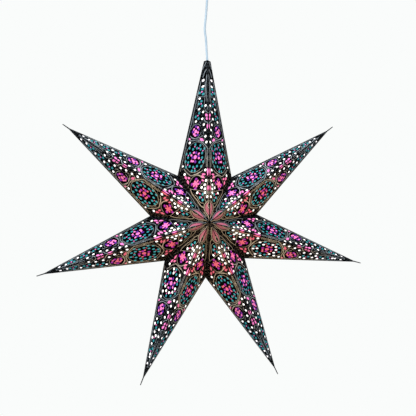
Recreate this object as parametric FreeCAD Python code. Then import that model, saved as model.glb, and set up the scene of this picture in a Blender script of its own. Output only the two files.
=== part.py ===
import FreeCAD, Part
import itertools
import math
import os

from FreeCAD import Vector

# Hanging paper star lantern with seven points, folded from punched card and lit by a lamp inside.
# Each point is one folded sheet, glued to its neighbours by flaps along the valleys.
# Origin: middle of the ceiling rose's top face. X is to the right, Y to the back, Z up, all in mm.

os.makedirs("parts", exist_ok=True)

# Where the star hangs
DROP = 478.0            # ceiling to the middle of the star
STAR_SHIFT = -5.5       # the star's middle hangs this far to the side of the cord

# The star's outline, with bearings in degrees clockwise from straight up; it hangs a little uneven
TIP_BEARINGS = (None, 53.3, 104.1, 153.8, 201.6, 252.4, 304.6)   # the top point follows the cord
NOTCH_BEARINGS = (30.9, 80.5, 130.8, 178.6, 226.5, 277.2, 330.4)
NOTCH_R = 96.5          # middle to the inner corners
RIDGE_R = 290.5         # where the four faces of a point would meet
TAIL_ROOT = 5.0         # the tail grows out of the faces this far before they would meet
TAIL_END = 9.0          # and ends this far past it
TAIL_HALF_W = 0.6       # half of the tail's width at its end
TAIL_HALF_D = 0.5       # half of the tail's depth at its end
APEX_H = 73.0           # height of the front and back peaks over the middle plane
NECK_RIDGE_R = 322.0    # where the top point's four faces would meet
NECK_CUT = 30.0         # the top point is cut off for the cord this far before that

# Card, flaps and window paper
CARD = 0.4              # card thickness
FLAP = 9.0              # how far the glue flaps reach in from the faces
WINDOW_PAPER = 0.15     # thickness of the paper behind the windows
WINDOW_PAPER_END = 0.7  # from a flap's outside to the window paper's edge
PAPER_TO_STOP = 6.0     # the top window paper ends this far below the cord stop

# Windows punched in every face, placed on a flat face and fitted to each real one
FLAT_RIDGE = 300.0      # the flat face's ridge, from peak to tip
NECK_FLAT_RIDGE = 341.0  # the same on the top point, which is drawn out longer and cut off
FLAT_NOTCH = (101.0, 67.0)  # the flat face's inner corner: along the ridge, away from it
DOT_R = 1.9             # radius of a round window
DOT_SIDES = 6
DOTS = (
    (64.2, 17.3), (74.1, 7.1), (98.0, 51.5), (144.9, 6.2), (190.7, 13.7), (213.9, 6.2),
    (232.3, 14.4),
)
FLOWERS = (             # middle, petals, their inner and outer radius, half their width, first bearing
    ((121.7, 30.2), 5, 2.2, 9.8, 2.5, 12),
    ((172.6, 26.3), 4, 2.0, 10.6, 2.5, 40),
)
LEAF = ((6.5, 2.6), (32.0, 9.4), 2.0)  # root, end and half the width of the long leaf at the peak

# Cord and the stop that the neck of the star rests on
CORD_D = 4.0
BORE_CLEAR = 0.2        # radial room round the cord in a bore
SEAT_CLEAR = 0.4        # room between the stop and the card
STOP_SUNK = 1.0         # the stop's top lies this far inside the neck
STOP_H = 17.0

# Small lamp with a round bulb, heights over the star's middle
GLOBE_R = 22.5
BULB_NECK_R = 10.0
BULB_NECK_TOP = 33.0
BULB_CAP_R = 6.9
BULB_CAP_TOP = 52.0
BULB_CONTACT_R = 3.0
BULB_TIP = 55.5
SHELL_CLEAR = 0.25      # between the bulb's cap and the screw shell
SHELL_WALL = 0.5
SHELL_LENGTH = 21.0
CONTACT_R = 2.6
CONTACT_H = 1.2
FIT = 0.3               # room between the lampholder's own pieces
CORE_H = 9.0
BOSS_R = 5.0
BOSS_H = 6.0
BARREL_R = 14.0
BARREL_WALL = 1.7
BARREL_BOTTOM = 31.0
LEDGE_H = 2.0
LEDGE_IN = 1.8
BARREL_OVER_CORE = 4.0
CAP_H = 24.0
CAP_TOP_R = 7.5
CAP_WALL = 1.7
SPIGOT_WALL = 1.3
CLAMP_R = 4.6
CLAMP_FLANGE = 1.6
CLAMP_ABOVE = 6.0
CLAMP_BELOW = 3.0

# Ceiling rose
CUP_R = 40.0
CUP_H = 56.0
CUP_WALL = 1.6
CUP_SHOULDER_R = 30.0
CUP_SHOULDER_Z = 47.5
CUP_SIDE_Z = 34.0
CUP_BASE_R = 12.0
GRIP_R = 5.5
GRIP_FLANGE = 2.0
GRIP_BELOW = 4.0
GRIP_ABOVE = 6.0
PLATE_T = 1.5
PLATE_W = 16.0
EAR_H = 20.0
SCREW_SPACING = 50.0
SCREW_HOLE_R = 2.25
SIDE_SCREW_R = 1.5
SIDE_SCREW_HEAD_R = 2.6
SIDE_SCREW_HEAD_H = 1.4
SIDE_SCREW_Z = 11.0
BLOCK_SIZE = (20.0, 11.0, 14.0)

STAR = Vector(STAR_SHIFT, 0, -DROP)
TAIL_R = RIDGE_R + TAIL_END
TAIL_ROOT_R = RIDGE_R - TAIL_ROOT
NECK_R = NECK_RIDGE_R - NECK_CUT
STOP_TOP = NECK_R - STOP_SUNK
STOP_BOTTOM = STOP_TOP - STOP_H
CORD_R = CORD_D / 2
BORE_R = CORD_R + BORE_CLEAR


def save(name, shape):
    shape.exportStep(f"parts/{name}.step")


# Flat-sided solids from planes

def plane_through(a, b, c, inside):
    normal = (b - a).cross(c - a).normalize()
    if normal.dot(inside - a) > 0:
        normal = -normal
    return normal, normal.dot(a)


def corner(planes):
    (n1, d1), (n2, d2), (n3, d3) = planes
    volume = n1.dot(n2.cross(n3))
    if abs(volume) < 1e-9:
        return None
    return (n2.cross(n3) * d1 + n3.cross(n1) * d2 + n1.cross(n2) * d3) / volume


def corners_of(planes):
    found = []
    for three in itertools.combinations(planes, 3):
        p = corner(three)
        if p is None or any(n.dot(p) > d + 1e-6 for n, d in planes):
            continue
        if all((p - q).Length > 1e-4 for q in found):
            found.append(p)
    return found


def flat_sided(planes):
    points = corners_of(planes)
    sides = []
    for normal, distance in planes:
        ring = [p for p in points if abs(normal.dot(p) - distance) < 1e-4]
        if len(ring) < 3:
            continue
        middle = sum(ring, Vector()) / len(ring)
        across = (ring[0] - middle).normalize()
        up = normal.cross(across)
        ring.sort(key=lambda p: math.atan2(up.dot(p - middle), across.dot(p - middle)))
        sides.append(Part.Face(Part.makePolygon(ring + ring[:1])))
    return Part.Solid(Part.Shell(sides))


# The star

def polar(bearing, radius):
    turn = math.radians(bearing)
    return STAR + Vector(radius * math.sin(turn), 0, radius * math.cos(turn))


NAMES = ("top", "upper_right", "right", "lower_right", "lower_left", "left", "upper_left")
PEAKS = (STAR + Vector(0, -APEX_H, 0), STAR + Vector(0, APEX_H, 0))
NECK_BEARING = math.degrees(math.asin(-STAR_SHIFT / NECK_R))


def notch(i):
    return polar(NOTCH_BEARINGS[i % len(NAMES)], NOTCH_R)


def tip(i):
    if i == 0:
        return polar(NECK_BEARING, NECK_RIDGE_R)
    return polar(TIP_BEARINGS[i], RIDGE_R)


def point_body(i, inset, end_inset, cut_r=None):
    """The space of one point, inset from its four faces and from the planes where it joins its neighbours."""
    out = (tip(i) - STAR).normalize()
    inside = STAR + out * (NOTCH_R / 2)
    planes = []
    for side in (notch(i - 1), notch(i)):
        for peak in PEAKS:
            normal, distance = plane_through(peak, tip(i), side, inside)
            planes.append((normal, distance - inset))
        normal, distance = plane_through(PEAKS[0], PEAKS[1], side, inside)
        planes.append((normal, distance - end_inset))
    if cut_r:
        planes.append((out, out.dot(STAR) + cut_r))
    return flat_sided(planes)


def tail(i):
    """The pinched end of a point: a slim four-sided taper that grows out of its faces."""
    out = (tip(i) - STAR).normalize()
    side = Vector(0, 1, 0).cross(out)
    left = RIDGE_R - TAIL_ROOT_R
    root_w = left * math.tan(half_angle(i))
    root_d = left * APEX_H / RIDGE_R
    wires = []
    for radius, w, d in ((TAIL_ROOT_R, root_w, root_d), (TAIL_R, TAIL_HALF_W, TAIL_HALF_D)):
        middle = STAR + out * radius
        ring = [middle + side * w, middle + Vector(0, d, 0), middle - side * w, middle - Vector(0, d, 0)]
        wires.append(Part.makePolygon(ring + ring[:1]))
    return Part.makeLoft(wires, True, True)


def half_angle(i):
    """The smaller of the two angles between a point's middle line and its outlines."""
    line = STAR - tip(i)
    return min(line.getAngle(notch(i - 1) - tip(i)), line.getAngle(notch(i) - tip(i)))


def on_face(i, peak, side, place):
    """The place on a real face of a place on the flat face."""
    ridge = FLAT_RIDGE if i else NECK_FLAT_RIDGE
    share = place[1] / FLAT_NOTCH[1]
    along = (place[0] - share * FLAT_NOTCH[0]) / ridge
    return peak + (tip(i) - peak) * along + (side - peak) * share


def kite(root, end, half_w):
    """A petal's outline, pointed at both ends and widest in the middle."""
    middle = ((root[0] + end[0]) / 2, (root[1] + end[1]) / 2)
    length = math.dist(root, end)
    across = ((root[1] - end[1]) * half_w / length, (end[0] - root[0]) * half_w / length)
    return [root, (middle[0] + across[0], middle[1] + across[1]),
            end, (middle[0] - across[0], middle[1] - across[1])]


def around(middle, radius, degrees):
    turn = math.radians(degrees)
    return middle[0] + radius * math.cos(turn), middle[1] + radius * math.sin(turn)


def flat_windows():
    """Outlines of all windows on the flat face: dots, flowers and the long leaf."""
    rings = [[around(dot, DOT_R, 360 * k / DOT_SIDES) for k in range(DOT_SIDES)] for dot in DOTS]
    for middle, petals, inner_r, outer_r, half_w, first in FLOWERS:
        for k in range(petals):
            bearing = first + 360 * k / petals
            rings.append(kite(around(middle, inner_r, bearing), around(middle, outer_r, bearing), half_w))
    rings.append(kite(*LEAF))
    return rings


def windows(i):
    """Punches for every window in the four faces of one point."""
    punches = []
    inside = STAR + (tip(i) - STAR).normalize() * (NOTCH_R / 2)
    for peak, side in itertools.product(PEAKS, (notch(i - 1), notch(i))):
        normal, _ = plane_through(peak, tip(i), side, inside)
        for ring in flat_windows():
            start = [on_face(i, peak, side, place) + normal * CARD for place in ring]
            punches.append(Part.Face(Part.makePolygon(start + start[:1])).extrude(normal * (-3 * CARD)))
    return Part.makeCompound(punches)


def folded_point(i):
    """One folded sheet: four faces, a flap on each edge that meets a neighbour, and its windows."""
    cut_r = NECK_R if i == 0 else None
    beyond = NECK_R + 1 if i == 0 else None
    body = point_body(i, 0, 0, cut_r)
    if i:
        body = body.fuse(tail(i))
    body = body.cut(point_body(i, CARD, CARD, beyond))
    body = body.cut(point_body(i, FLAP, -FLAP, beyond))
    return body.cut(windows(i)).removeSplitter()


def window_paper(i):
    """The thin sheet glued inside a point, behind its windows."""
    end_r = STOP_BOTTOM - PAPER_TO_STOP if i == 0 else None
    beyond = NECK_R if i == 0 else None
    paper = point_body(i, CARD, CARD + WINDOW_PAPER_END, end_r)
    return paper.cut(point_body(i, CARD + WINDOW_PAPER, -FLAP, beyond))


# Turned pieces on the cord's line

def turned(outline, base=-DROP):
    """Turns an outline of (radius, height) points; a third pair in between makes an arc."""
    edges = []
    for start, *middle, end in outline:
        a, b = (Vector(r, 0, base + z) for r, z in (start, end))
        if middle:
            r, z = middle[0]
            edges.append(Part.Arc(a, Vector(r, 0, base + z), b).toShape())
        else:
            edges.append(Part.LineSegment(a, b).toShape())
    face = Part.Face(Part.Wire(edges))
    return face.revolve(Vector(0, 0, 0), Vector(0, 0, 1), 360)


def straight(*points):
    ring = points + points[:1]
    return [(a, b) for a, b in zip(ring, ring[1:])]


SHELL_R = BULB_CAP_R + SHELL_CLEAR
CORE_BOTTOM = BULB_TIP + FIT + CONTACT_H
CORE_TOP = CORE_BOTTOM + CORE_H
BOSS_TOP = CORE_TOP + BOSS_H
CORE_R = BARREL_R - BARREL_WALL - FIT
BARREL_TOP = CORE_TOP + BARREL_OVER_CORE
CAP_BOTTOM = BARREL_TOP + FIT
CAP_TOP = CAP_BOTTOM + CAP_H
CLAMP_TOP = CAP_TOP + CLAMP_ABOVE


def bulb():
    """The round bulb with its neck, cap and contact, one sealed piece."""
    shoulder = math.radians(40)
    shoulder_r = GLOBE_R * math.cos(shoulder)
    shoulder_z = GLOBE_R * math.sin(shoulder)
    waist = ((shoulder_r + BULB_NECK_R) / 2 - 1.2, (shoulder_z + BULB_NECK_TOP) / 2)
    return turned([
        ((0, -GLOBE_R), (GLOBE_R, 0), (shoulder_r, shoulder_z)),
        ((shoulder_r, shoulder_z), waist, (BULB_NECK_R, BULB_NECK_TOP - 2)),
        ((BULB_NECK_R, BULB_NECK_TOP - 2), (BULB_CAP_R, BULB_NECK_TOP)),
        ((BULB_CAP_R, BULB_NECK_TOP), (BULB_CAP_R, BULB_CAP_TOP)),
        ((BULB_CAP_R, BULB_CAP_TOP), (BULB_CONTACT_R, BULB_TIP)),
        ((BULB_CONTACT_R, BULB_TIP), (0, BULB_TIP)),
        ((0, BULB_TIP), (0, -GLOBE_R)),
    ])


def screw_shell():
    """The brass thread that the bulb screws into, hung from the core."""
    low = CORE_BOTTOM - SHELL_LENGTH
    outer = SHELL_R + SHELL_WALL
    return turned(straight((SHELL_R, low), (outer, low), (outer, CORE_BOTTOM), (SHELL_R, CORE_BOTTOM)))


def centre_contact():
    low = CORE_BOTTOM - CONTACT_H
    return turned(straight((0, low), (CONTACT_R, low), (CONTACT_R, CORE_BOTTOM), (0, CORE_BOTTOM)))


def insulator_core():
    """The ceramic core that carries the contacts, with a boss that the cord ends on."""
    return turned(straight((0, CORE_BOTTOM), (CORE_R, CORE_BOTTOM), (CORE_R, CORE_TOP),
                           (BOSS_R, CORE_TOP), (BOSS_R, BOSS_TOP), (0, BOSS_TOP)))


def lampholder_barrel():
    """The lower sleeve, open below, with a ledge inside that the core sits on."""
    bore = BARREL_R - BARREL_WALL
    ledge_r = bore - LEDGE_IN
    ledge_top = CORE_BOTTOM
    return turned(straight((bore, BARREL_BOTTOM), (BARREL_R, BARREL_BOTTOM), (BARREL_R, BARREL_TOP),
                           (bore, BARREL_TOP), (bore, ledge_top), (ledge_r, ledge_top),
                           (ledge_r, ledge_top - LEDGE_H), (bore, ledge_top - LEDGE_H - LEDGE_IN)))


def lampholder_cap():
    """The domed cap: its spigot holds the core down, and the cord comes out of its top."""
    low = CORE_TOP + FIT
    spigot_r = BARREL_R - BARREL_WALL - FIT
    inner_r = spigot_r - SPIGOT_WALL
    hole_r = CLAMP_R - CLAMP_FLANGE + FIT
    top_in = CAP_TOP - CAP_WALL
    bend = CAP_BOTTOM + 0.45 * CAP_H
    return turned([
        ((inner_r, low), (spigot_r, low)),
        ((spigot_r, low), (spigot_r, CAP_BOTTOM)),
        ((spigot_r, CAP_BOTTOM), (BARREL_R, CAP_BOTTOM)),
        ((BARREL_R, CAP_BOTTOM), (BARREL_R - 0.8, bend), (CAP_TOP_R, CAP_TOP)),
        ((CAP_TOP_R, CAP_TOP), (hole_r, CAP_TOP)),
        ((hole_r, CAP_TOP), (hole_r, top_in)),
        ((hole_r, top_in), (CAP_TOP_R - 1.0, top_in)),
        ((CAP_TOP_R - 1.0, top_in), (inner_r - 0.8, bend), (inner_r, CAP_BOTTOM)),
        ((inner_r, CAP_BOTTOM), (inner_r, low)),
    ])


def cord_clamp():
    """The nipple that grips the cord in the cap's top."""
    flange_z = CAP_TOP + FIT
    stem_r = CLAMP_R - CLAMP_FLANGE
    low = CAP_TOP - CAP_WALL - CLAMP_BELOW
    return turned(straight((BORE_R, low), (stem_r, low), (stem_r, flange_z), (CLAMP_R, flange_z),
                           (CLAMP_R, CLAMP_TOP - 2), (stem_r, CLAMP_TOP), (BORE_R, CLAMP_TOP)))


# The cord

def inner_circle(height):
    """Radius of the circle that fits between the top point's faces at a height over the middle."""
    spread = half_angle(0)
    depth = math.atan2(APEX_H, NECK_RIDGE_R)
    slope = 1 / math.hypot(1 / math.tan(spread), 1 / math.tan(depth))
    return (NECK_RIDGE_R - height) * slope - CARD


def cord_stop():
    """The moulded cone on the cord that carries the star by the inside of its neck."""
    wide, slim = (inner_circle(z) - SEAT_CLEAR for z in (STOP_BOTTOM, STOP_TOP))
    return turned(straight((BORE_R, STOP_BOTTOM), (wide, STOP_BOTTOM), (slim, STOP_TOP), (BORE_R, STOP_TOP)))


CORD_END = DROP - PLATE_T - FIT - BLOCK_SIZE[2]
FREE_CORD = CORD_END - NECK_R
CORD_ROUTE = (
    (0.0, BOSS_TOP), (0.0, BOSS_TOP + 40.0), (0.9, NECK_R - 132.0), (-0.7, NECK_R - 78.0),
    (0.0, NECK_R - 29.0), (0.0, NECK_R + 5.0), (-1.5, NECK_R + 0.118 * FREE_CORD),
    (-2.2, NECK_R + 0.241 * FREE_CORD), (-4.9, NECK_R + 0.335 * FREE_CORD),
    (-3.8, NECK_R + 0.417 * FREE_CORD), (-1.6, NECK_R + 0.552 * FREE_CORD),
    (0.0, NECK_R + 0.705 * FREE_CORD), (0.0, CORD_END),
)


def cord():
    """A round tube along straight runs joined by tangent arcs as large as the runs allow."""
    route = [Vector(x, 0, z - DROP) for x, z in CORD_ROUTE]
    edges = []
    radii = []
    at = route[0]
    for before, here, after in zip(route, route[1:], route[2:]):
        into, out = here - before, after - here
        reach = 0.45 * min(into.Length, out.Length)
        half_turn = into.getAngle(out) / 2
        into.normalize()
        out.normalize()
        start, end = here - into * reach, here + out * reach
        radius = reach / math.tan(half_turn)
        radii.append(round(radius))
        sagitta = radius * (1 / math.cos(half_turn) - 1)
        edges.append(Part.LineSegment(at, start).toShape())
        edges.append(Part.Arc(start, here + (out - into).normalize() * sagitta, end).toShape())
        at = end
    edges.append(Part.LineSegment(at, route[-1]).toShape())
    path = Part.Wire(edges)
    section = Part.Wire(Part.makeCircle(CORD_R, route[0], route[1] - route[0]))
    tube = path.makePipeShell([section], True, True)
    expected = math.pi * CORD_R ** 2 * path.Length
    print("cord arcs", radii, "length", round(path.Length, 1), "volume share", round(tube.Volume / expected, 5))
    return tube


# The ceiling rose

def rose_cup():
    """The cup that hides the wiring, open to the ceiling, with a hole for the cord grip."""
    side = -CUP_SIDE_Z
    shoulder = -CUP_SHOULDER_Z
    inner_r = CUP_R - CUP_WALL
    hole_r = GRIP_R - GRIP_FLANGE + FIT
    top_in = -CUP_H + CUP_WALL
    inner_shoulder = (CUP_SHOULDER_R - CUP_WALL / 2, shoulder + CUP_WALL)
    cup = turned([
        ((inner_r, 0), (CUP_R, 0)),
        ((CUP_R, 0), (CUP_R, side)),
        ((CUP_R, side), (CUP_R - 2.6, side - 8), (CUP_SHOULDER_R, shoulder)),
        ((CUP_SHOULDER_R, shoulder), (CUP_BASE_R, -CUP_H)),
        ((CUP_BASE_R, -CUP_H), (hole_r, -CUP_H)),
        ((hole_r, -CUP_H), (hole_r, top_in)),
        ((hole_r, top_in), (CUP_BASE_R, top_in)),
        ((CUP_BASE_R, top_in), inner_shoulder),
        (inner_shoulder, (inner_r - 2.6, side - 8 + CUP_WALL / 2), (inner_r, side)),
        ((inner_r, side), (inner_r, 0)),
    ], 0)
    screw_hole = Part.makeCylinder(SIDE_SCREW_R + BORE_CLEAR, 2 * CUP_R + 2,
                                   Vector(-CUP_R - 1, 0, -SIDE_SCREW_Z), Vector(1, 0, 0))
    return cup.cut(screw_hole)


def rose_cord_grip():
    """The bush in the cup's base that the cord runs through."""
    stem_r = GRIP_R - GRIP_FLANGE
    flange_z = -CUP_H - FIT
    low = -CUP_H - GRIP_BELOW
    high = -CUP_H + GRIP_ABOVE
    return turned(straight((BORE_R, low), (GRIP_R - 1, low), (GRIP_R, flange_z), (stem_r, flange_z),
                           (stem_r, high), (BORE_R, high)), 0)


def rose_bracket():
    """The strip screwed to the ceiling, bent down at both ends to take the cup's side screws."""
    ear_x = CUP_R - CUP_WALL - FIT
    strip = Part.makeBox(2 * ear_x, PLATE_W, PLATE_T, Vector(-ear_x, -PLATE_W / 2, -PLATE_T))
    for x in (-ear_x, ear_x - PLATE_T):
        strip = strip.fuse(Part.makeBox(PLATE_T, PLATE_W, EAR_H, Vector(x, -PLATE_W / 2, -EAR_H)))
    round_end = Part.makeCylinder(ear_x, EAR_H, Vector(0, 0, -EAR_H))
    strip = strip.common(round_end)
    for x in (-SCREW_SPACING / 2, SCREW_SPACING / 2):
        strip = strip.cut(Part.makeCylinder(SCREW_HOLE_R, 3 * PLATE_T, Vector(x, 0, -2 * PLATE_T)))
    screw_hole = Part.makeCylinder(SIDE_SCREW_R + BORE_CLEAR, 2 * CUP_R,
                                   Vector(-CUP_R, 0, -SIDE_SCREW_Z), Vector(1, 0, 0))
    return strip.cut(screw_hole).removeSplitter()


def rose_screws():
    """The two screws that hold the cup to the bracket's ears."""
    screws = []
    for way in (-1, 1):
        along = Vector(way, 0, 0)
        start = Vector(way * (CUP_R - CUP_WALL - FIT - PLATE_T - 1), 0, -SIDE_SCREW_Z)
        under_head = Vector(way * (CUP_R + FIT), 0, -SIDE_SCREW_Z)
        shank = Part.makeCylinder(SIDE_SCREW_R, (under_head - start).Length, start, along)
        screws.append(shank.fuse(Part.makeCylinder(SIDE_SCREW_HEAD_R, SIDE_SCREW_HEAD_H, under_head, along)))
    return Part.makeCompound(screws)


def terminal_block():
    """The block under the bracket that the cord is wired into."""
    x, y, z = BLOCK_SIZE
    block = Part.makeBox(x, y, z, Vector(-x / 2, -y / 2, -PLATE_T - FIT - z))
    for side in (-1, 1):
        well = Part.makeCylinder(2.0, 5.0, Vector(side * x / 4, -y / 2, -PLATE_T - FIT - z / 2), Vector(0, 1, 0))
        block = block.cut(well)
    return block


for index, name in enumerate(NAMES):
    save(f"point_{name}", folded_point(index))
    save(f"window_paper_{name}", window_paper(index))
save("bulb", bulb())
save("screw_shell", screw_shell())
save("centre_contact", centre_contact())
save("insulator_core", insulator_core())
save("lampholder_barrel", lampholder_barrel())
save("lampholder_cap", lampholder_cap())
save("cord_clamp", cord_clamp())
save("cord_stop", cord_stop())
save("pendant_cord", cord())
save("rose_cord_grip", rose_cord_grip())
save("rose_cup", rose_cup())
save("rose_bracket", rose_bracket())
save("rose_screws", rose_screws())
save("terminal_block", terminal_block())
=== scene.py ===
import math

import bmesh
import bpy
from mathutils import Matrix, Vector
from mathutils.geometry import delaunay_2d_cdt


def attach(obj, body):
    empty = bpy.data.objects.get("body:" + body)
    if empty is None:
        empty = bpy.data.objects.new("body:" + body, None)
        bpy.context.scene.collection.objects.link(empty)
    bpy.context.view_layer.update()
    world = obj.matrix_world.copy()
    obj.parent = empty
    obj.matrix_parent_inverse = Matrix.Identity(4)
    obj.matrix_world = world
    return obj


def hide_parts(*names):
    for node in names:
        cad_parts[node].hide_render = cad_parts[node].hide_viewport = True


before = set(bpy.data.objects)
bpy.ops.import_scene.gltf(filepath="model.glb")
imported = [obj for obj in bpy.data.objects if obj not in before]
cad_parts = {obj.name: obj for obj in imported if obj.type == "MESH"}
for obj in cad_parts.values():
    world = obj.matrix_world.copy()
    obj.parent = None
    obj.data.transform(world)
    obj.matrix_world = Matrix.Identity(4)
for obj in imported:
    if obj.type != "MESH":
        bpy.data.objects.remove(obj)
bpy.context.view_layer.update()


# The star hangs at eye level and is seen from the front by a normal lens 0.87 m away. The lens stands a
# little to its left and below its middle, so the front peak lies off the middle of the outline.
MM = 0.001
STAR = Vector((-5.5, 0, -478)) * MM
VIEW_FROM = STAR + Vector((-105, -861.6, -17.4)) * MM
VIEW_TO = STAR + Vector((6.8, 0, 26.7)) * MM
camera_data = bpy.data.cameras.new("view")
camera_data.lens = 42.3
camera_data.sensor_width = 36
camera_data.clip_start = 0.05
camera = bpy.data.objects.new("view", camera_data)
bpy.context.collection.objects.link(camera)
camera.location = VIEW_FROM
camera.rotation_mode = "QUATERNION"
camera.rotation_quaternion = (VIEW_TO - VIEW_FROM).to_track_quat("-Z", "Y")
bpy.context.scene.camera = camera
bpy.context.scene.view_settings.view_transform = "Standard"


# The cord is a round, pale, smooth-sleeved lead, 4 mm thick. It starts on the lampholder's core, runs up
# through the stop in the star's neck, bends a little where it was coiled once, and ends in the ceiling rose.
CORD_R = 2 * MM
CORD_ROUTE = (          # to the side, and up from the star's middle
    (0.0, 72.0), (0.0, 112.0), (0.9, 160.0), (-0.7, 214.0), (0.0, 263.0), (0.0, 297.0),
    (-1.5, 312.1), (-2.2, 333.0), (-4.9, 349.0), (-3.8, 363.0), (-1.6, 386.0), (0.0, 412.0),
    (0.0, 462.2),
)
cord_curve = bpy.data.curves.new("pendant_cord_line", "CURVE")
cord_curve.dimensions = "3D"
cord_line = cord_curve.splines.new("NURBS")
cord_line.points.add(len(CORD_ROUTE) - 1)
for point, (x, z) in zip(cord_line.points, CORD_ROUTE):
    point.co = (x * MM, 0, STAR.z + z * MM, 1)
cord_line.order_u = 3
cord_line.use_endpoint_u = True
cord_line.resolution_u = 12
cord_curve.bevel_depth = CORD_R
cord_curve.bevel_resolution = 6
cord_curve.use_fill_caps = True
cord = bpy.data.objects.new("pendant_cord_sleeve", cord_curve)
bpy.context.collection.objects.link(cord)


def add_node(tree, kind, inputs=None, **settings):
    """One node, with its settings and with its inputs given as values or as other nodes' outputs."""
    node = tree.nodes.new(kind)
    for key, value in settings.items():
        setattr(node, key, value)
    for key, value in (inputs or {}).items():
        if isinstance(value, bpy.types.NodeSocket):
            tree.links.new(value, node.inputs[key])
        else:
            node.inputs[key].default_value = value
    return node


def new_finish(name):
    """A material with its node tree, its shader and the place on the object, ready for more nodes."""
    finish = bpy.data.materials.new(name)
    finish.use_nodes = True
    tree = finish.node_tree
    place = add_node(tree, "ShaderNodeTexCoord").outputs["Object"]
    return finish, tree, tree.nodes["Principled BSDF"], place


def colour_ramp(tree, value, *stops):
    """The colour at value, between (value, colour) stops."""
    node = add_node(tree, "ShaderNodeValToRGB", {"Fac": value})
    for _ in stops[2:]:
        node.color_ramp.elements.new(0.5)
    for element, (position, colour) in zip(node.color_ramp.elements, stops):
        element.position = position
        element.color = (*colour, 1)
    return node.outputs["Color"]


def noise(tree, place, scale, detail):
    """Soft random patches, or a fine grain at a large scale."""
    cloud = add_node(tree, "ShaderNodeTexNoise", {"Vector": place, "Scale": scale, "Detail": detail})
    return cloud.outputs["Fac"]


def emboss(tree, shader, height, depth, strength):
    """Gives the surface a relief, depth metres high."""
    relief = add_node(tree, "ShaderNodeBump", {"Height": height, "Distance": depth, "Strength": strength})
    tree.links.new(relief.outputs["Normal"], shader.inputs["Normal"])


def mottled_finish(name, dark, light, rough, patches, relief, grain=None):
    """Two close tones in soft patches, with a relief from the patches themselves or from a finer grain."""
    finish, tree, shader, place = new_finish(name)
    tone = noise(tree, place, *patches)
    tree.links.new(colour_ramp(tree, tone, (0.3, dark), (0.7, light)), shader.inputs["Base Color"])
    shader.inputs["Roughness"].default_value = rough
    emboss(tree, shader, noise(tree, place, *grain) if grain else tone, *relief)
    return finish, shader


cord_sleeve, _ = mottled_finish("cord_sleeve", (0.47, 0.62, 0.72), (0.60, 0.73, 0.81), 0.35,
                                patches=(90.0, 4.0), relief=(0.0001, 0.3), grain=(900.0, 2.0))
cord_curve.materials.append(cord_sleeve)
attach(cord, "root")
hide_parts("pendant_cord")


# Each of the seven points is one sheet of thin black card with a satin print, punched with windows, creased
# along four ridges, and glued to its neighbours by flaps that turn in along the valleys. The end is pinched
# to a tail, and the top point is cut off where the cord goes through.
NAMES = ("top", "upper_right", "right", "lower_right", "lower_left", "left", "upper_left")
TIP_BEARINGS = (None, 53.3, 104.1, 153.8, 201.6, 252.4, 304.6)      # the top point follows the cord
NOTCH_BEARINGS = (30.9, 80.5, 130.8, 178.6, 226.5, 277.2, 330.4)    # clockwise from straight up, too
NOTCH_R = 96.5          # middle to the inner corners
APEX_H = 73.0           # height of the front and back peaks over the middle plane
RIDGE_R = 290.5         # where the four faces of a point would meet
NECK_RIDGE_R = 322.0    # the same on the top point
NECK_R = 292.0          # where the top point is cut off
TAIL_ROOT_R = 285.5
TAIL_R = 299.5
TAIL_HALF_W = 0.75
TAIL_HALF_D = 0.6
TAIL_PRINT = ((290, 0), (290, 2), (300, 2), (300, 0))   # a tail face's corners on the flat face
CARD = 0.4
FLAP = 11.0
PEAKS = (STAR + Vector((0, -APEX_H, 0)) * MM, STAR + Vector((0, APEX_H, 0)) * MM)

# The print is laid out once, in mm, on a flat face with its peak at (0, 0) and its ridge along the first
# axis, and fitted to each real face
FLAT_RIDGE = 300.0
NECK_FLAT_RIDGE = 341.0
FLAT_NOTCH = (101.0, 67.0)      # the flat face's inner corner: along the ridge, away from it


def at_bearing(bearing, radius):
    """A place on the star's middle plane."""
    turn = math.radians(bearing)
    return STAR + Vector((radius * math.sin(turn), 0, radius * math.cos(turn))) * MM


def inner_corner(i):
    return at_bearing(NOTCH_BEARINGS[i % len(NAMES)], NOTCH_R)


def tip(i):
    if i == 0:
        return at_bearing(math.degrees(math.asin(-STAR.x / (NECK_R * MM))), NECK_RIDGE_R)
    return at_bearing(TIP_BEARINGS[i], RIDGE_R)


def faces_of(i):
    """The four faces of a point: its peak, tip and inner corner, and which way it faces."""
    inside = STAR + (tip(i) - STAR) * 0.2
    for peak in PEAKS:
        for side in (inner_corner(i - 1), inner_corner(i)):
            normal = (tip(i) - peak).cross(side - peak).normalized()
            if normal.dot(peak - inside) < 0:
                normal = -normal
            yield peak, tip(i), side, normal


def flat_ridge(i):
    """The ridge's length on the flat face: the top point's print is drawn out longer."""
    return FLAT_RIDGE if i else NECK_FLAT_RIDGE


def on_face(i, face, place, lift=0.0):
    """Where a place on the flat face lies on a real one, lifted off it by lift."""
    peak, end, side, normal = face
    share = place[1] / FLAT_NOTCH[1]
    along = (place[0] - share * FLAT_NOTCH[0]) / flat_ridge(i)
    return peak + (end - peak) * along + (side - peak) * share + normal * (lift * MM)


def oval(middle, half_long, half_wide, degrees=0.0, sides=8):
    """The outline of a small oval window, turned by degrees."""
    turn = math.radians(degrees)
    ring = []
    for k in range(sides):
        a = 2 * math.pi * k / sides
        x, y = half_long * math.cos(a), half_wide * math.sin(a)
        ring.append((middle[0] + x * math.cos(turn) - y * math.sin(turn),
                     middle[1] + x * math.sin(turn) + y * math.cos(turn)))
    return ring


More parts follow.
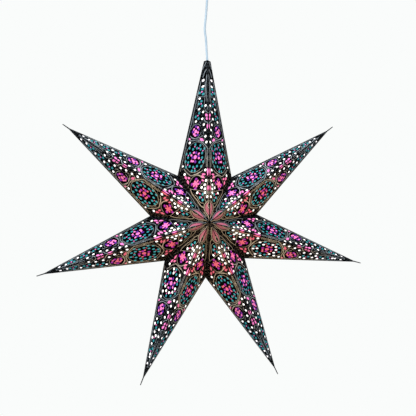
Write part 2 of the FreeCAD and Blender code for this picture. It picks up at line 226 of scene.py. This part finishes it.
def petal(root, end, half_wide, steps=5):
    """The outline of a petal with both ends pointed, widest past its middle."""
    dx, dy = end[0] - root[0], end[1] - root[1]
    length = math.hypot(dx, dy)
    sides = [[], []]
    for k in range(1, steps):
        t = k / steps
        w = half_wide * math.sin(math.pi * t ** 1.25) / length
        for side, way in zip(sides, (-1, 1)):
            side.append((root[0] + dx * t - way * dy * w, root[1] + dy * t + way * dx * w))
    return [root] + sides[0] + [end] + sides[1][::-1]


# Middles of the big rosette and of the two small flowers nearer to the peak and to the tip
ROSETTE = (124.6, 28.6)
ROSETTE_SIZE = (28.6, 21.8)
NEAR_FLOWER = (74.4, 27.3)
FAR_FLOWER = (173.2, 27.2)

DOT_R = 2.45
DOTS_SHRINK_FROM = 140      # from here outwards the white dots get smaller,
DOTS_SHRINK = 1 / 300       # by this much for each mm


def dot(u, v):
    """A round window."""
    radius = DOT_R - max(0, u - DOTS_SHRINK_FROM) * DOTS_SHRINK
    return oval((u, v), radius, radius, sides=10)


WHITE_DOTS = (
    (45.0, 4.5), (53.3, 8.6), (60.2, 9.0), (64.2, 15.4), (67.6, 9.2), (74.8, 6.3), (94.5, 7.6), (57.0, 24.5),
    (98.0, 51.4), (146.0, 4.9), (157.4, 6.8), (169.8, 7.5), (180.7, 9.9), (193.0, 13.1), (205.6, 11.1),
    (216.2, 5.8), (214.2, 19.4), (192.5, 26.7), (234.6, 14.6), (256.0, 6.5), (155.6, 40.2),
)
CORNER_DOT = ((114.6, 55.4), 1.9, 1.9)
LAST_DOT = ((268.0, 5.4), 2.4, 1.6)
TEAL_SIZE = (2.7, 2.3)
PEAK_TREFOIL = ((41.1, 13.5), (51.5, 13.5), (47.0, 19.0))
ROSETTE_RING = (
    (103.5, 16.0), (111.4, 12.0), (112.4, 19.5), (119.3, 14.0), (128.2, 14.0), (135.1, 9.0), (136.1, 17.0),
    (143.5, 17.5), (140.6, 24.5), (148.5, 28.0), (141.0, 33.0), (99.0, 29.5), (100.5, 36.0), (106.4, 25.0),
    (106.9, 33.0), (110.4, 40.5), (111.4, 48.5), (118.8, 43.5), (122.3, 49.5), (128.2, 44.0), (135.1, 39.5),
    (136.1, 47.5), (145.5, 40.5),
)
OUTER_TREFOILS = (
    (196.4, 21.2), (201.7, 27.0), (206.3, 19.7), (218.2, 13.0), (228.0, 13.0), (224.8, 19.2), (240.7, 7.7),
    (251.2, 7.7), (246.0, 12.6),
)
HEARTS = ((ROSETTE, 4.0, 3.4), (NEAR_FLOWER, 3.2, 3.0), (FAR_FLOWER, 3.6, 3.0))
SEED_SIZE = (1.5, 1.3)
PINK_SEEDS = (
    (46.2, 15.8), (115.6, 16.0), (132.0, 12.2), (144.8, 29.2), (103.2, 29.6), (114.4, 44.6), (132.0, 43.2),
    (202.4, 22.4), (223.2, 15.0), (246.2, 9.0), (139.2, 20.6),
)
ROUND_PETAL_SIZE = (2.6, 2.0)
ROUND_PETALS = (        # middle and turn of the short pink petals in the rosette and the two flowers
    (119.6, 36.8, -20), (130.4, 36.6, 20), (118.0, 33.2, 70), (134.0, 31.0, 80), (120.4, 20.8, 60),
    (129.0, 20.8, -60), (72.6, 22.8, 60), (78.2, 23.8, -40), (78.4, 29.2, 30), (71.2, 31.2, -40),
    (69.4, 26.0, 20), (75.4, 32.0, 80), (179.4, 22.4, 30), (169.4, 31.0, 30), (165.8, 28.2, 60),
    (178.6, 30.8, -30), (170.0, 22.6, 30),
)
LONG_PETALS = (         # root, end and half the width of the pink petals along the ridge and the outer edge
    ((81.0, 2.8), (98.0, 2.8), 1.9), ((54.2, 2.6), (65.6, 2.6), 1.8), ((74.2, 9.8), (78.8, 16.0), 1.6),
    ((79.6, 8.4), (86.2, 17.0), 2.2), ((85.6, 6.4), (89.0, 15.4), 1.9), ((51.8, 16.8), (55.6, 21.6), 1.1),
    ((76.2, 42.2), (86.0, 45.8), 2.1), ((86.0, 38.6), (90.6, 45.2), 2.0), ((86.6, 46.2), (94.8, 51.2), 2.1),
    ((149.6, 9.6), (157.0, 18.6), 2.5), ((159.4, 38.4), (165.4, 42.4), 1.9),
    ((169.0, 2.6), (180.0, 2.6), 1.5), ((186.6, 2.2), (193.2, 4.6), 1.9), ((193.0, 1.8), (200.4, 6.4), 2.4),
)
PEAK_LEAF = (
    (11.0, 1.1), (22.0, 1.3), (25.4, 3.2), (29.4, 3.8), (34.6, 2.0), (33.4, 5.4), (30.0, 8.2), (25.0, 8.8),
    (18.6, 6.4), (14.0, 3.4),
)
PURPLE_SIZE = (3.0, 2.3)
PURPLE_PETALS = (       # middle and turn, four round each flower's heart
    (124.6, 22.0, 90), (132.4, 26.4, 0), (125.4, 34.2, 90), (115.8, 28.4, 0),
    (74.0, 19.0, 0), (82.6, 26.6, 90), (75.0, 35.8, 0), (65.6, 28.6, 80),
    (175.4, 20.6, 20), (182.6, 26.4, 60), (174.6, 33.4, 0), (165.4, 23.6, 60),
)
WINDOWS = {
    "white": [dot(u, v) for u, v in WHITE_DOTS]
    + [oval(*sizes, sides=10) for sizes in (CORNER_DOT, LAST_DOT)],
    "teal": [oval(middle, *TEAL_SIZE) for middle in PEAK_TREFOIL + ROSETTE_RING + OUTER_TREFOILS],
    "pink": [oval(middle, *SEED_SIZE) for middle in PINK_SEEDS]
    + [oval(*sizes, sides=10) for sizes in HEARTS]
    + [oval((u, v), *ROUND_PETAL_SIZE, turn) for u, v, turn in ROUND_PETALS]
    + [petal(*sizes) for sizes in LONG_PETALS],
    "leaf": [PEAK_LEAF],
    "purple": [oval((u, v), *PURPLE_SIZE, turn) for u, v, turn in PURPLE_PETALS],
}

# No two sheets are creased in quite the same place, so each one's print sits a little nearer or farther out.
# The top point stays open round the cord, so its print lies wider apart towards the end.
SLIPS = (0.9, -3.2, 0.7, 3.2, 1.7, 0.3, -0.4)
NECK_STRETCH_FROM = 140
NECK_STRETCH = 0.022
NECK_WIDEN_FROM = 222
NECK_WIDEN = 0.02


def slipped(ring, i):
    """An outline, or a pair of places, where the sheet of point i has it."""
    if i:
        return [(u + SLIPS[i], v) for u, v in ring]
    return [(u + SLIPS[i] + NECK_STRETCH * max(0, u - NECK_STRETCH_FROM),
             v * (1 + NECK_WIDEN * max(0, u - NECK_WIDEN_FROM))) for u, v in ring]


CREASE_MARGIN = 0.7     # the card left between a window and the ridge,
EDGE_MARGIN = 0.8       # and between a window and the other edges of its face
PRINT_END = 275
NECK_PRINT_END = 304


def well_inside(ring, i):
    """Whether a window leaves some card between itself and the edges of its face."""
    last = PRINT_END if i else NECK_PRINT_END
    for u, v in ring:
        edge = FLAT_NOTCH[1] * (1 - (u - FLAT_NOTCH[0]) / (flat_ridge(i) - FLAT_NOTCH[0]))
        valley = FLAT_NOTCH[1] * u / FLAT_NOTCH[0]
        if v < CREASE_MARGIN or v > min(edge, valley) - EDGE_MARGIN or u > last:
            return False
    return True


def flat_outline(i):
    """A face's outline on the flat face: peak, end of the ridge, end of the outer edge, inner corner."""
    cut = TAIL_ROOT_R / RIDGE_R if i else NECK_R / NECK_RIDGE_R
    ridge = flat_ridge(i)
    line = (tip(i) - STAR).length
    corner = (inner_corner(i) - STAR).dot((tip(i) - STAR).normalized())
    share = line * (1 - cut) / (line - corner)
    return [(0, 0), (ridge * cut, 0),
            (ridge + (FLAT_NOTCH[0] - ridge) * share, FLAT_NOTCH[1] * share), FLAT_NOTCH]


def punched(i):
    """The places of a flat face and its windows, and the triangles of card between them."""
    rings = [flat_outline(i)]
    for windows in WINDOWS.values():
        rings += [slipped(ring, i) for ring in windows if well_inside(ring, i)]
    places, loops = [], []
    for ring in rings:
        loops.append(list(range(len(places), len(places) + len(ring))))
        places += [Vector(p) for p in ring]
    # Triangles inside the rings are found, and those that lie in the outline alone are card
    found, _, triangles, _, _, origins = delaunay_2d_cdt(places, [], loops, 1, 1e-5)
    return found, [triangle for triangle, origin in zip(triangles, origins) if list(origin) == [0]]


def add_face(bm, corners, normal, uv=None, places=None, material=0):
    """One face turned to face along normal, with its flat places as texture coordinates."""
    across = (corners[1].co - corners[0].co).cross(corners[2].co - corners[0].co)
    if across.dot(normal) < 0:
        corners = corners[::-1]
        places = places[::-1] if places else None
    face = bm.faces.new(corners)
    face.material_index = material
    if places:
        for loop, place in zip(face.loops, places):
            loop[uv].uv = (place[0] / FLAT_RIDGE, place[1] / FLAT_RIDGE)


def glue_flap(bm, uv, face):
    """The flap along a face's valley, turned in on the plane through both peaks."""
    peak, end, side, _ = face
    inward = Vector((0, 1, 0)) if peak.y < 0 else Vector((0, -1, 0))
    outside = (side - STAR).cross(Vector((0, 1, 0))).normalized()
    if outside.dot(end - STAR) > 0:
        outside = -outside
    deep = FLAP * MM / math.cos(math.atan2(APEX_H, NOTCH_R))
    inner_side = side - (side - STAR).normalized() * deep * NOTCH_R / APEX_H
    corners = [bm.verts.new(p) for p in (peak, side, inner_side, peak + inward * deep)]
    add_face(bm, corners, outside, uv, [(0, 0), FLAT_NOTCH, FLAT_NOTCH, (0, 0)])


def pinched_tail(bm, uv, i):
    """The tail that grows out of a point's four faces and ends in a small lozenge."""
    out = (tip(i) - STAR).normalized()
    end = STAR + out * TAIL_R * MM
    half_wide = Vector((0, 1, 0)).cross(out) * TAIL_HALF_W * MM
    half_deep = Vector((0, TAIL_HALF_D * MM, 0))
    for face in faces_of(i):
        ridge, edge = (on_face(i, face, place) for place in flat_outline(i)[1:3])
        across = half_wide if (edge - STAR).dot(half_wide) > 0 else -half_wide
        back = half_deep if face[0].y > 0 else -half_deep
        corners = [bm.verts.new(p) for p in (ridge, edge, end + across, end + back)]
        add_face(bm, corners, face[3], uv, TAIL_PRINT)
    lozenge = [bm.verts.new(p) for p in (end + half_wide, end + half_deep, end - half_wide, end - half_deep)]
    add_face(bm, lozenge, out, uv, TAIL_PRINT[3:] * 4)


def new_sheet(name, bm, thickness, *finishes):
    """A sheet from its outer side, with its thickness behind."""
    mesh = bpy.data.meshes.new(name)
    bm.to_mesh(mesh)
    bm.free()
    for finish in finishes:
        mesh.materials.append(finish)
    sheet = bpy.data.objects.new(name, mesh)
    bpy.context.collection.objects.link(sheet)
    thick = sheet.modifiers.new("thickness", "SOLIDIFY")
    thick.thickness = thickness * MM
    thick.offset = -1
    return sheet


def calc(tree, operation, *values):
    """One sum on numbers."""
    return add_node(tree, "ShaderNodeMath", dict(enumerate(values)), operation=operation).outputs[0]


def vector_calc(tree, operation, *values):
    """One sum on places. A distance or a length is a number, and all else is a place."""
    node = add_node(tree, "ShaderNodeVectorMath", dict(enumerate(values)), operation=operation)
    return node.outputs["Value" if operation in ("DISTANCE", "LENGTH") else "Vector"]


def fade(tree, value, start, end, first=1.0, last=0.0):
    """From first to last while value goes from start to end."""
    return add_node(tree, "ShaderNodeMapRange", {"Value": value, "From Min": start, "From Max": end,
                                                 "To Min": first, "To Max": last}).outputs["Result"]


MIX_A = 6       # the colour sockets of a mix node
MIX_B = 7
MIX_RESULT = 2


def mixed(tree, share, first, second):
    """The first colour where share is 0, and the second where it is 1."""
    node = add_node(tree, "ShaderNodeMix", {"Factor": share, MIX_A: first, MIX_B: second}, data_type="RGBA")
    return node.outputs[MIX_RESULT]


DOWN_FACE_GLOW_SHIFT = 0.12      # painted lamp glow: faces that look down get as much as faces this much nearer to the middle, in m
GLOW_CLOUDS = 0.04


def painted_lamp_glow(tree, place, near, far):
    """Painted lamp light: 1 at the star's warm middle to 0 outside it, a little cloudy, and more on faces
    that look down.
    """
    away = vector_calc(tree, "DISTANCE", place, STAR)
    normal = add_node(tree, "ShaderNodeTexCoord").outputs["Normal"]
    upward = add_node(tree, "ShaderNodeSeparateXYZ", {0: normal}).outputs["Z"]
    tilted = calc(tree, "MULTIPLY_ADD", upward, DOWN_FACE_GLOW_SHIFT, away)
    clouded = calc(tree, "MULTIPLY_ADD", noise(tree, place, 40.0, 3.0), GLOW_CLOUDS, tilted)
    return fade(tree, clouded, near, far)


def outside_oval(tree, flat, middle, half_long, half_wide):
    """1 outside an oval of the flat face, 0 inside it."""
    centre = (middle[0] / FLAT_RIDGE, middle[1] / FLAT_RIDGE, 0)
    offset = vector_calc(tree, "SUBTRACT", flat, centre)
    scaled = vector_calc(tree, "MULTIPLY", offset, (FLAT_RIDGE / half_long, FLAT_RIDGE / half_wide, 0))
    return calc(tree, "GREATER_THAN", vector_calc(tree, "LENGTH", scaled), 1.0)


# The card's print: a fine web of grey lines on black, left out of the ovals round the flowers. The web is
# drawn fainter beside the valleys, and near the lamp its lines turn gold and the black warm: painted lamp
# glow.
WEB_SCALE = 58.0
WEB_WANDER = 0.012              # how far the web's lines wander from straight
WEB_LINE = (0.006, 0.017)       # where a line of the web starts and stops fading, from its middle
VALLEY_SLOPE = (0.42, 0.58)     # away from the ridge over along it: from here to there the web fades
VALLEY_WEB = 0.7                # to this
GREY_WEB = (0.19, 0.22, 0.24)
# painted lamp glow: the colour the grey web is drawn in near the lamp
LAMPLIT_WEB = (0.85, 0.56, 0.32)
COLD_BLACK = (0.0005, 0.0006, 0.0008)
# painted lamp glow: the warm tint of the black near the lamp
LAMPLIT_BLACK = (0.002, 0.0014, 0.001)
CARD_GLOW_REACH = (0.07, 0.15)        # the painted lamp glow fades out between these distances from the middle, in m
PLAIN_OVALS = (                 # middle and half axes
    (ROSETTE, *ROSETTE_SIZE), (NEAR_FLOWER, 14.4, 13.0), (FAR_FLOWER, 13.0, 12.0), ((44.0, 15.6), 10.0, 7.0),
)
printed_card, tree, shader, place = new_finish("printed_card")
flat = add_node(tree, "ShaderNodeTexCoord").outputs["UV"]
wander = add_node(tree, "ShaderNodeTexNoise", {"Vector": flat, "Scale": 60.0, "Detail": 2.0}).outputs["Color"]
bent = mixed(tree, WEB_WANDER, flat, wander)
cells = add_node(tree, "ShaderNodeTexVoronoi", {"Vector": bent, "Scale": WEB_SCALE},
                 feature="DISTANCE_TO_EDGE")
web = fade(tree, cells.outputs["Distance"], *WEB_LINE)
for middle, half_long, half_wide in PLAIN_OVALS:
    web = calc(tree, "MULTIPLY", web, outside_oval(tree, flat, middle, half_long, half_wide))
flat_xy = add_node(tree, "ShaderNodeSeparateXYZ", {0: flat})
slope = calc(tree, "DIVIDE", flat_xy.outputs["Y"], flat_xy.outputs["X"])
web = calc(tree, "MULTIPLY", web, fade(tree, slope, *VALLEY_SLOPE, 1.0, VALLEY_WEB))
# Painted lamp glow: towards the middle and on faces that look down, the web turns gold and the black warm
painted_glow = painted_lamp_glow(tree, place, *CARD_GLOW_REACH)
web_ink_and_glow = colour_ramp(tree, painted_glow, (0.0, GREY_WEB), (1.0, LAMPLIT_WEB))
black = colour_ramp(tree, painted_glow, (0.0, COLD_BLACK), (1.0, LAMPLIT_BLACK))
tree.links.new(mixed(tree, web, black, web_ink_and_glow), shader.inputs["Base Color"])
shader.inputs["Roughness"].default_value = 0.55
shader.inputs["Specular IOR Level"].default_value = 0.008
emboss(tree, shader, noise(tree, place, scale=700.0, detail=5.0), depth=0.00015, strength=0.35)

for i, name in enumerate(NAMES):
    bm = bmesh.new()
    uv = bm.loops.layers.uv.new("flat")
    places, triangles = punched(i)
    for face in faces_of(i):
        corners = [bm.verts.new(on_face(i, face, place)) for place in places]
        for triangle in triangles:
            add_face(bm, [corners[k] for k in triangle], face[3], uv, [places[k] for k in triangle])
        glue_flap(bm, uv, face)
    if i:
        pinched_tail(bm, uv, i)
    bmesh.ops.remove_doubles(bm, verts=bm.verts, dist=1e-6)
    sheet = new_sheet(f"card_{name}", bm, CARD, printed_card)
    sheet.modifiers["thickness"].use_even_offset = True
    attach(sheet, "root")
    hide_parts(f"point_{name}")


# Over the black print lies raised line work in a metallic ink. It frames the rosette and the flowers, arches
# over them and borders the face. The ink is grey outside, and drawn golden near the lamp: painted lamp glow.
INK_W = 0.55
BOLD_INK_W = 0.9
INK_LIFT = 0.02         # room between the ink and the card, so that they don't run into each other
INK_T = 0.05
GREY_INK = (0.36, 0.40, 0.42)
# painted lamp glow: the ink's colour near the lamp
LAMPLIT_INK = (1.0, 0.72, 0.42)
INK_GLOW_REACH = (0.08, 0.18)


def arc(middle, half_long, half_wide, first, last, steps=24):
    """A stretch of an oval, from one bearing to another."""
    line = []
    for k in range(steps + 1):
        a = math.radians(first + (last - first) * k / steps)
        line.append((middle[0] + half_long * math.cos(a), middle[1] + half_wide * math.sin(a)))
    return line


def smooth(points, steps=5):
    """A smooth line through the points."""
    line = []
    for k in range(len(points) - 1):
        a, b, c, d = points[max(k - 1, 0)], points[k], points[k + 1], points[min(k + 2, len(points) - 1)]
        for n in range(steps):
            t = n / steps
            line.append(tuple(0.5 * (2 * q + (r - p) * t + (2 * p - 5 * q + 4 * r - s) * t * t
                                     + (3 * q - p - 3 * r + s) * t ** 3) for p, q, r, s in zip(a, b, c, d)))
    return line + [points[-1]]


def ribbon(line, width):
    """Pairs of places on both sides of a line."""
    pairs = []
    for k, (u, v) in enumerate(line):
        before, after = line[max(k - 1, 0)], line[min(k + 1, len(line) - 1)]
        if line[0] == line[-1] and k in (0, len(line) - 1):
            before, after = line[-2], line[1]
        du, dv = after[0] - before[0], after[1] - before[1]
        size = math.hypot(du, dv) / (width / 2)
        pairs.append(((u - dv / size, v + du / size), (u + dv / size, v - du / size)))
    return pairs


ARCHES = (              # the bold lines, round the flowers, the peak's leaf and the petals on the ridge
    ((131.0, 1.4), (138.6, 5.6), (147.5, 12.5), (153.5, 19.2), (156.8, 27.2), (157.6, 34.5), (162.0, 41.5)),
    ((81.0, 12.5), (85.5, 16.8), (89.5, 23.5), (91.2, 30.0), (91.3, 36.5), (95.5, 42.3), (101.5, 47.8),
     (109.0, 53.0)),
    ((95.8, 12.4), (93.0, 18.0), (91.6, 25.0)),
    ((94.0, 17.0), (92.8, 23.0), (91.4, 34.0)),
    ((160.4, 12.0), (159.2, 18.5), (159.4, 25.5), (161.4, 31.5), (166.5, 37.8)),
    ((27.0, 10.4), (29.6, 15.4), (36.0, 20.6), (43.0, 24.6), (50.0, 30.2), (60.0, 36.4), (68.0, 39.0)),
    ((4.0, 0.9), (10.0, 2.6), (15.0, 5.6), (20.0, 8.8), (26.0, 10.6), (32.0, 9.2), (36.0, 5.0), (37.4, 1.2)),
    ((9.0, 0.9), (22.0, 0.9), (26.4, 2.6), (30.4, 3.0), (36.0, 1.0)),
    ((178.0, 0.9), (183.0, 3.2), (187.4, 8.4), (191.0, 8.6)),
    ((200.4, 0.9), (204.0, 4.6), (208.0, 6.4)),
    ((47.0, 8.6), (52.0, 3.4), (58.0, 5.8), (63.6, 5.4), (70.0, 3.0), (76.0, 2.2)),
)
TENDRILS = (            # the fine lines
    ((162.0, 10.0), (170.0, 11.6)),
    ((184.5, 16.4), (189.6, 18.4)),
    ((56.6, 12.0), (59.4, 20.0), (62.6, 27.0), (66.0, 37.0)),
    ((66.0, 18.4), (70.6, 16.0), (72.0, 12.0)),
    ((37.0, 7.4), (45.0, 10.0), (57.0, 12.0)),
    ((34.6, 11.0), (38.0, 18.6), (48.0, 24.0), (54.0, 29.0)),
    ((39.0, 2.0), (50.0, 1.4), (54.0, 1.6)),
    ((6.0, 3.0), (14.0, 8.0), (22.0, 13.6), (27.0, 17.4)),
    ((186.0, 30.4), (194.0, 32.0), (203.0, 32.0)),
    ((207.0, 15.4), (217.0, 24.0), (231.0, 17.0)),
    ((234.0, 6.0), (242.0, 17.0), (252.0, 12.0)),
    ((206.0, 2.4), (214.0, 1.2)),
    ((210.0, 8.0), (222.0, 7.8), (236.0, 4.6)),
    ((99.0, 5.0), (110.0, 5.6), (122.0, 5.2), (131.0, 3.2)),
    ((99.0, 3.2), (114.0, 3.0), (130.0, 2.0)),
    ((111.0, 1.0), (115.0, 4.4), (118.6, 1.0)),
    ((115.0, 0.9), (115.2, 6.2)),
    ((222.0, 2.0), (240.0, 3.0), (262.0, 2.2), (276.0, 1.0)),
    ((226.0, 6.4), (244.0, 4.4), (262.0, 3.2)),
    ((303.0, 0.9), (298.0, 2.6), (291.0, 5.0)),
    ((288.0, 0.9), (282.0, 3.4), (274.0, 5.4)),
)
EDGE_LINE = [(106.0, 61.0), (268.0, 7.8)]
BUD = (154.0, 14.2)
frames = [
    arc(ROSETTE, *ROSETTE_SIZE, 0, 360, 40),
    arc(NEAR_FLOWER, 15.0, 13.4, -60, 70),
    arc(FAR_FLOWER, 13.6, 12.2, -60, 60),
    arc(FAR_FLOWER, 13.6, 12.2, 110, 250),
    arc(BUD, 6.0, 6.6, 0, 360, 16),
]
fine_lines = frames + [smooth(points) for points in TENDRILS] + [EDGE_LINE]
bold_lines = [smooth(points) for points in ARCHES]

metallic_ink, tree, shader, place = new_finish("metallic_ink")
# Painted lamp glow: the grey ink turns gold towards the middle and on faces that look down
painted_glow = painted_lamp_glow(tree, place, *INK_GLOW_REACH)
tree.links.new(colour_ramp(tree, painted_glow, (0.0, GREY_INK), (1.0, LAMPLIT_INK)), shader.inputs["Base Color"])
shader.inputs["Metallic"].default_value = 0.2
shader.inputs["Roughness"].default_value = 0.4
emboss(tree, shader, noise(tree, place, scale=2500.0, detail=1.0), depth=0.00003, strength=0.5)

for i, name in enumerate(NAMES):
    bm = bmesh.new()
    for face in faces_of(i):
        for lines, width in ((fine_lines, INK_W), (bold_lines, BOLD_INK_W)):
            for line in lines:
                pairs = [slipped(pair, i) for pair in ribbon(line, width) if well_inside(pair, i)]
                rows = [[bm.verts.new(on_face(i, face, p, INK_LIFT + INK_T)) for p in pair] for pair in pairs]
                for a, b in zip(rows, rows[1:]):
                    add_face(bm, [a[0], a[1], b[1], b[0]], face[3])
    line_work = new_sheet(f"ink_lines_{name}", bm, INK_T, metallic_ink)
    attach(line_work, "root")


# Behind the coloured windows sit panes of dyed tissue, glued to the inside of the card: teal ovals, pink and
# purple petals. Their glow is painted: the panes give off light themselves for the lamp behind them, warmer
# towards the star's middle, brighter on faces that look up and dimmer on faces that look down.
PANE_DEPTH = 0.33       # how far a pane's outer side lies behind the card's
PANE = 0.05
TISSUE_GLOW_REACH = (0.08, 0.16)
# The painted glow is brighter on faces that look up and dimmer on faces that look down
STEEP = 0.5             # the faces' normals rise or fall by up to this
LOW_FACE_GLOW = 0.62
HIGH_FACE_GLOW = 1.15
PAINTED_GLARE_FACES = ((4, 1), (2, 1))       # point and face where every second teal pane is left out, so the white tissue's glow shows: painted lamp glare


def painted_glow_tissue(name, cool, warm, glow):
    """Dyed tissue that glows with painted lamp light, in its colour away from the lamp and a warmer one near
    it.
    """
    finish, tree, shader, place = new_finish(name)
    colour = colour_ramp(tree, painted_lamp_glow(tree, place, *TISSUE_GLOW_REACH), (0.0, cool), (1.0, warm))
    tree.links.new(colour, shader.inputs["Base Color"])
    # painted glow: the tissue gives off light itself
    tree.links.new(colour, shader.inputs["Emission Color"])
    normal = add_node(tree, "ShaderNodeNewGeometry").outputs["Normal"]
    upward = add_node(tree, "ShaderNodeSeparateXYZ", {0: normal}).outputs["Z"]
    strength = fade(tree, upward, -STEEP, STEEP, LOW_FACE_GLOW * glow, HIGH_FACE_GLOW * glow)
    tree.links.new(strength, shader.inputs["Emission Strength"])
    shader.inputs["Roughness"].default_value = 0.7
    emboss(tree, shader, noise(tree, place, scale=1500.0, detail=3.0), depth=0.00005, strength=0.4)
    return finish


tissues = {
    "teal": painted_glow_tissue("teal_tissue", (0.012, 0.20, 0.225), (0.05, 0.33, 0.33), 0.8),
    "pink": painted_glow_tissue("pink_tissue", (0.80, 0.17, 0.46), (0.84, 0.13, 0.17), 0.85),
    "leaf": painted_glow_tissue("leaf_tissue", (0.42, 0.10, 0.16), (0.42, 0.11, 0.11), 0.5),
    "purple": painted_glow_tissue("purple_tissue", (0.085, 0.005, 0.22), (0.42, 0.02, 0.31), 0.85),
}
for i, name in enumerate(NAMES):
    bm = bmesh.new()
    for number, face in enumerate(faces_of(i)):
        for material, hue in enumerate(tissues):
            for count, ring in enumerate(WINDOWS[hue]):
                # Painted lamp glare: these teal panes are left out
                if hue == "teal" and count % 2 and (i, number) in PAINTED_GLARE_FACES:
                    continue
                if well_inside(ring, i):
                    corners = [bm.verts.new(on_face(i, face, p, -PANE_DEPTH)) for p in slipped(ring, i)]
                    add_face(bm, corners, face[3], material=material)
    panes = new_sheet(f"coloured_panes_{name}", bm, PANE, *tissues.values())
    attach(panes, "root")


# One sheet of white tissue is glued inside each point and backs all of its windows. Its glow is painted: it
# gives off light itself for the lamp's light, cream by the middle and cooler farther out, and makes the white
# dots.
LAMPLIT_CREAM = (1.0, 0.95, 0.86)
COOL_WHITE = (0.96, 0.92, 0.92)
LAMPLIT_CREAM_FADES = (0.06, 0.26)      # the painted cream glow fades between these distances from the middle, in m
window_tissue, tree, shader, place = new_finish("window_tissue")
away = vector_calc(tree, "DISTANCE", place, STAR)
cream = colour_ramp(tree, fade(tree, away, *LAMPLIT_CREAM_FADES, 0.0, 1.0), (0.0, LAMPLIT_CREAM), (1.0, COOL_WHITE))
tree.links.new(cream, shader.inputs["Base Color"])
tree.links.new(cream, shader.inputs["Emission Color"])
# painted glow: the tissue gives off light itself
shader.inputs["Emission Strength"].default_value = 1.1
shader.inputs["Roughness"].default_value = 0.8
emboss(tree, shader, noise(tree, place, scale=1200.0, detail=4.0), depth=0.00005, strength=0.4)


def dress(node, finish):
    """Gives a node's own solid a finish."""
    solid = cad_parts[node]
    solid.data.materials.clear()
    solid.data.materials.append(finish)


for name in NAMES:
    dress(f"window_paper_{name}", window_tissue)


# The lampholder hangs on the cord inside the top point. A rolled brass screw shell and a brass contact sit in
# a core of unglazed ceramic, inside a white plastic barrel and cap, and a plastic nipple grips the cord.
def metal(name, dark, light, rough, scale):
    """Plain metal in two close tones, in patches of the given scale."""
    finish, shader = mottled_finish(name, dark, light, rough, patches=(scale, 4.0), relief=(0.00003, 0.3))
    shader.inputs["Metallic"].default_value = 1.0
    return finish


brass = metal("brass", (0.62, 0.43, 0.17), (0.80, 0.60, 0.26), 0.28, 300.0)
ceramic, _ = mottled_finish("ceramic", (0.70, 0.67, 0.60), (0.80, 0.78, 0.72), 0.6,
                            patches=(600.0, 4.0), relief=(0.0001, 0.3))
white_plastic, _ = mottled_finish("white_plastic", (0.74, 0.75, 0.76), (0.80, 0.81, 0.81), 0.3,
                                  patches=(25.0, 3.0), relief=(0.00004, 0.25), grain=(1500.0, 2.0))
dress("screw_shell", brass)
dress("centre_contact", brass)
dress("insulator_core", ceramic)
dress("lampholder_barrel", white_plastic)
dress("lampholder_cap", white_plastic)
dress("cord_clamp", white_plastic)


# The bulb is a small round globe of blown glass, frosted inside, on a cap that screws into the lampholder.
# It gives a warm white light.
frosted_glass, shader = mottled_finish("frosted_glass", (1.0, 0.86, 0.62), (1.0, 0.92, 0.74), 0.3,
                                       patches=(800.0, 3.0), relief=(0.00005, 0.3))
shader.inputs["Emission Color"].default_value = (1.0, 0.86, 0.62, 1)
shader.inputs["Emission Strength"].default_value = 1.0
dress("bulb", frosted_glass)


# The stop is a moulded cone of white plastic that slides on the cord. The neck of the star is slipped over it
# from below and rests on it.
dress("cord_stop", white_plastic)


# The ceiling rose is a moulded cup of white plastic with a grip for the cord, over a terminal block. Two side
# screws hold it to a bracket of zinc-plated steel, which is screwed to the ceiling.
zinc_steel = metal("zinc_steel", (0.52, 0.54, 0.57), (0.66, 0.68, 0.70), 0.32, 120.0)
dress("rose_bracket", zinc_steel)
dress("rose_screws", zinc_steel)
dress("rose_cup", white_plastic)
dress("rose_cord_grip", white_plastic)
dress("terminal_block", white_plastic)


# The star hangs in a plain white room, lit from above and from the left by cool, soft daylight and from
# below by a weak warm bounce.
room = bpy.data.worlds.new("room")
bpy.context.scene.world = room
room.use_nodes = True
tree = room.node_tree
daylight = tree.nodes["Background"]
daylight.inputs["Color"].default_value = (0.80, 0.88, 1.0, 1)
daylight.inputs["Strength"].default_value = 0.35
white_wall = add_node(tree, "ShaderNodeBackground", {"Color": (0.956, 0.973, 0.965, 1), "Strength": 1.0})
path = add_node(tree, "ShaderNodeLightPath").outputs
seen = calc(tree, "MAXIMUM", path["Is Camera Ray"], path["Is Glossy Ray"])
seen = calc(tree, "MAXIMUM", seen, path["Is Transmission Ray"])
wall = add_node(tree, "ShaderNodeMixShader", {0: seen, 1: daylight.outputs[0], 2: white_wall.outputs[0]})
tree.links.new(wall.outputs[0], tree.nodes["World Output"].inputs["Surface"])

for name, place, size, power, tint in (
    ("key", (-1.1, -1.3, 0.5), 1.2, 26, (0.92, 0.96, 1.0)),
    ("fill", (1.3, -1.2, -0.6), 1.4, 10, (1.0, 0.96, 0.92)),
    ("top", (0.0, 0.2, 1.1), 1.4, 16, (0.86, 0.93, 1.0)),
    ("back", (0.2, 1.6, 0.0), 1.4, 14, (1.0, 1.0, 1.0)),
):
    lamp_data = bpy.data.lights.new(name, "AREA")
    lamp_data.size = size
    lamp_data.energy = power
    lamp_data.color = tint
    lamp = bpy.data.objects.new(name, lamp_data)
    bpy.context.collection.objects.link(lamp)
    lamp.location = place
    lamp.rotation_mode = "QUATERNION"
    lamp.rotation_quaternion = (STAR - Vector(place)).to_track_quat("-Z", "Y")
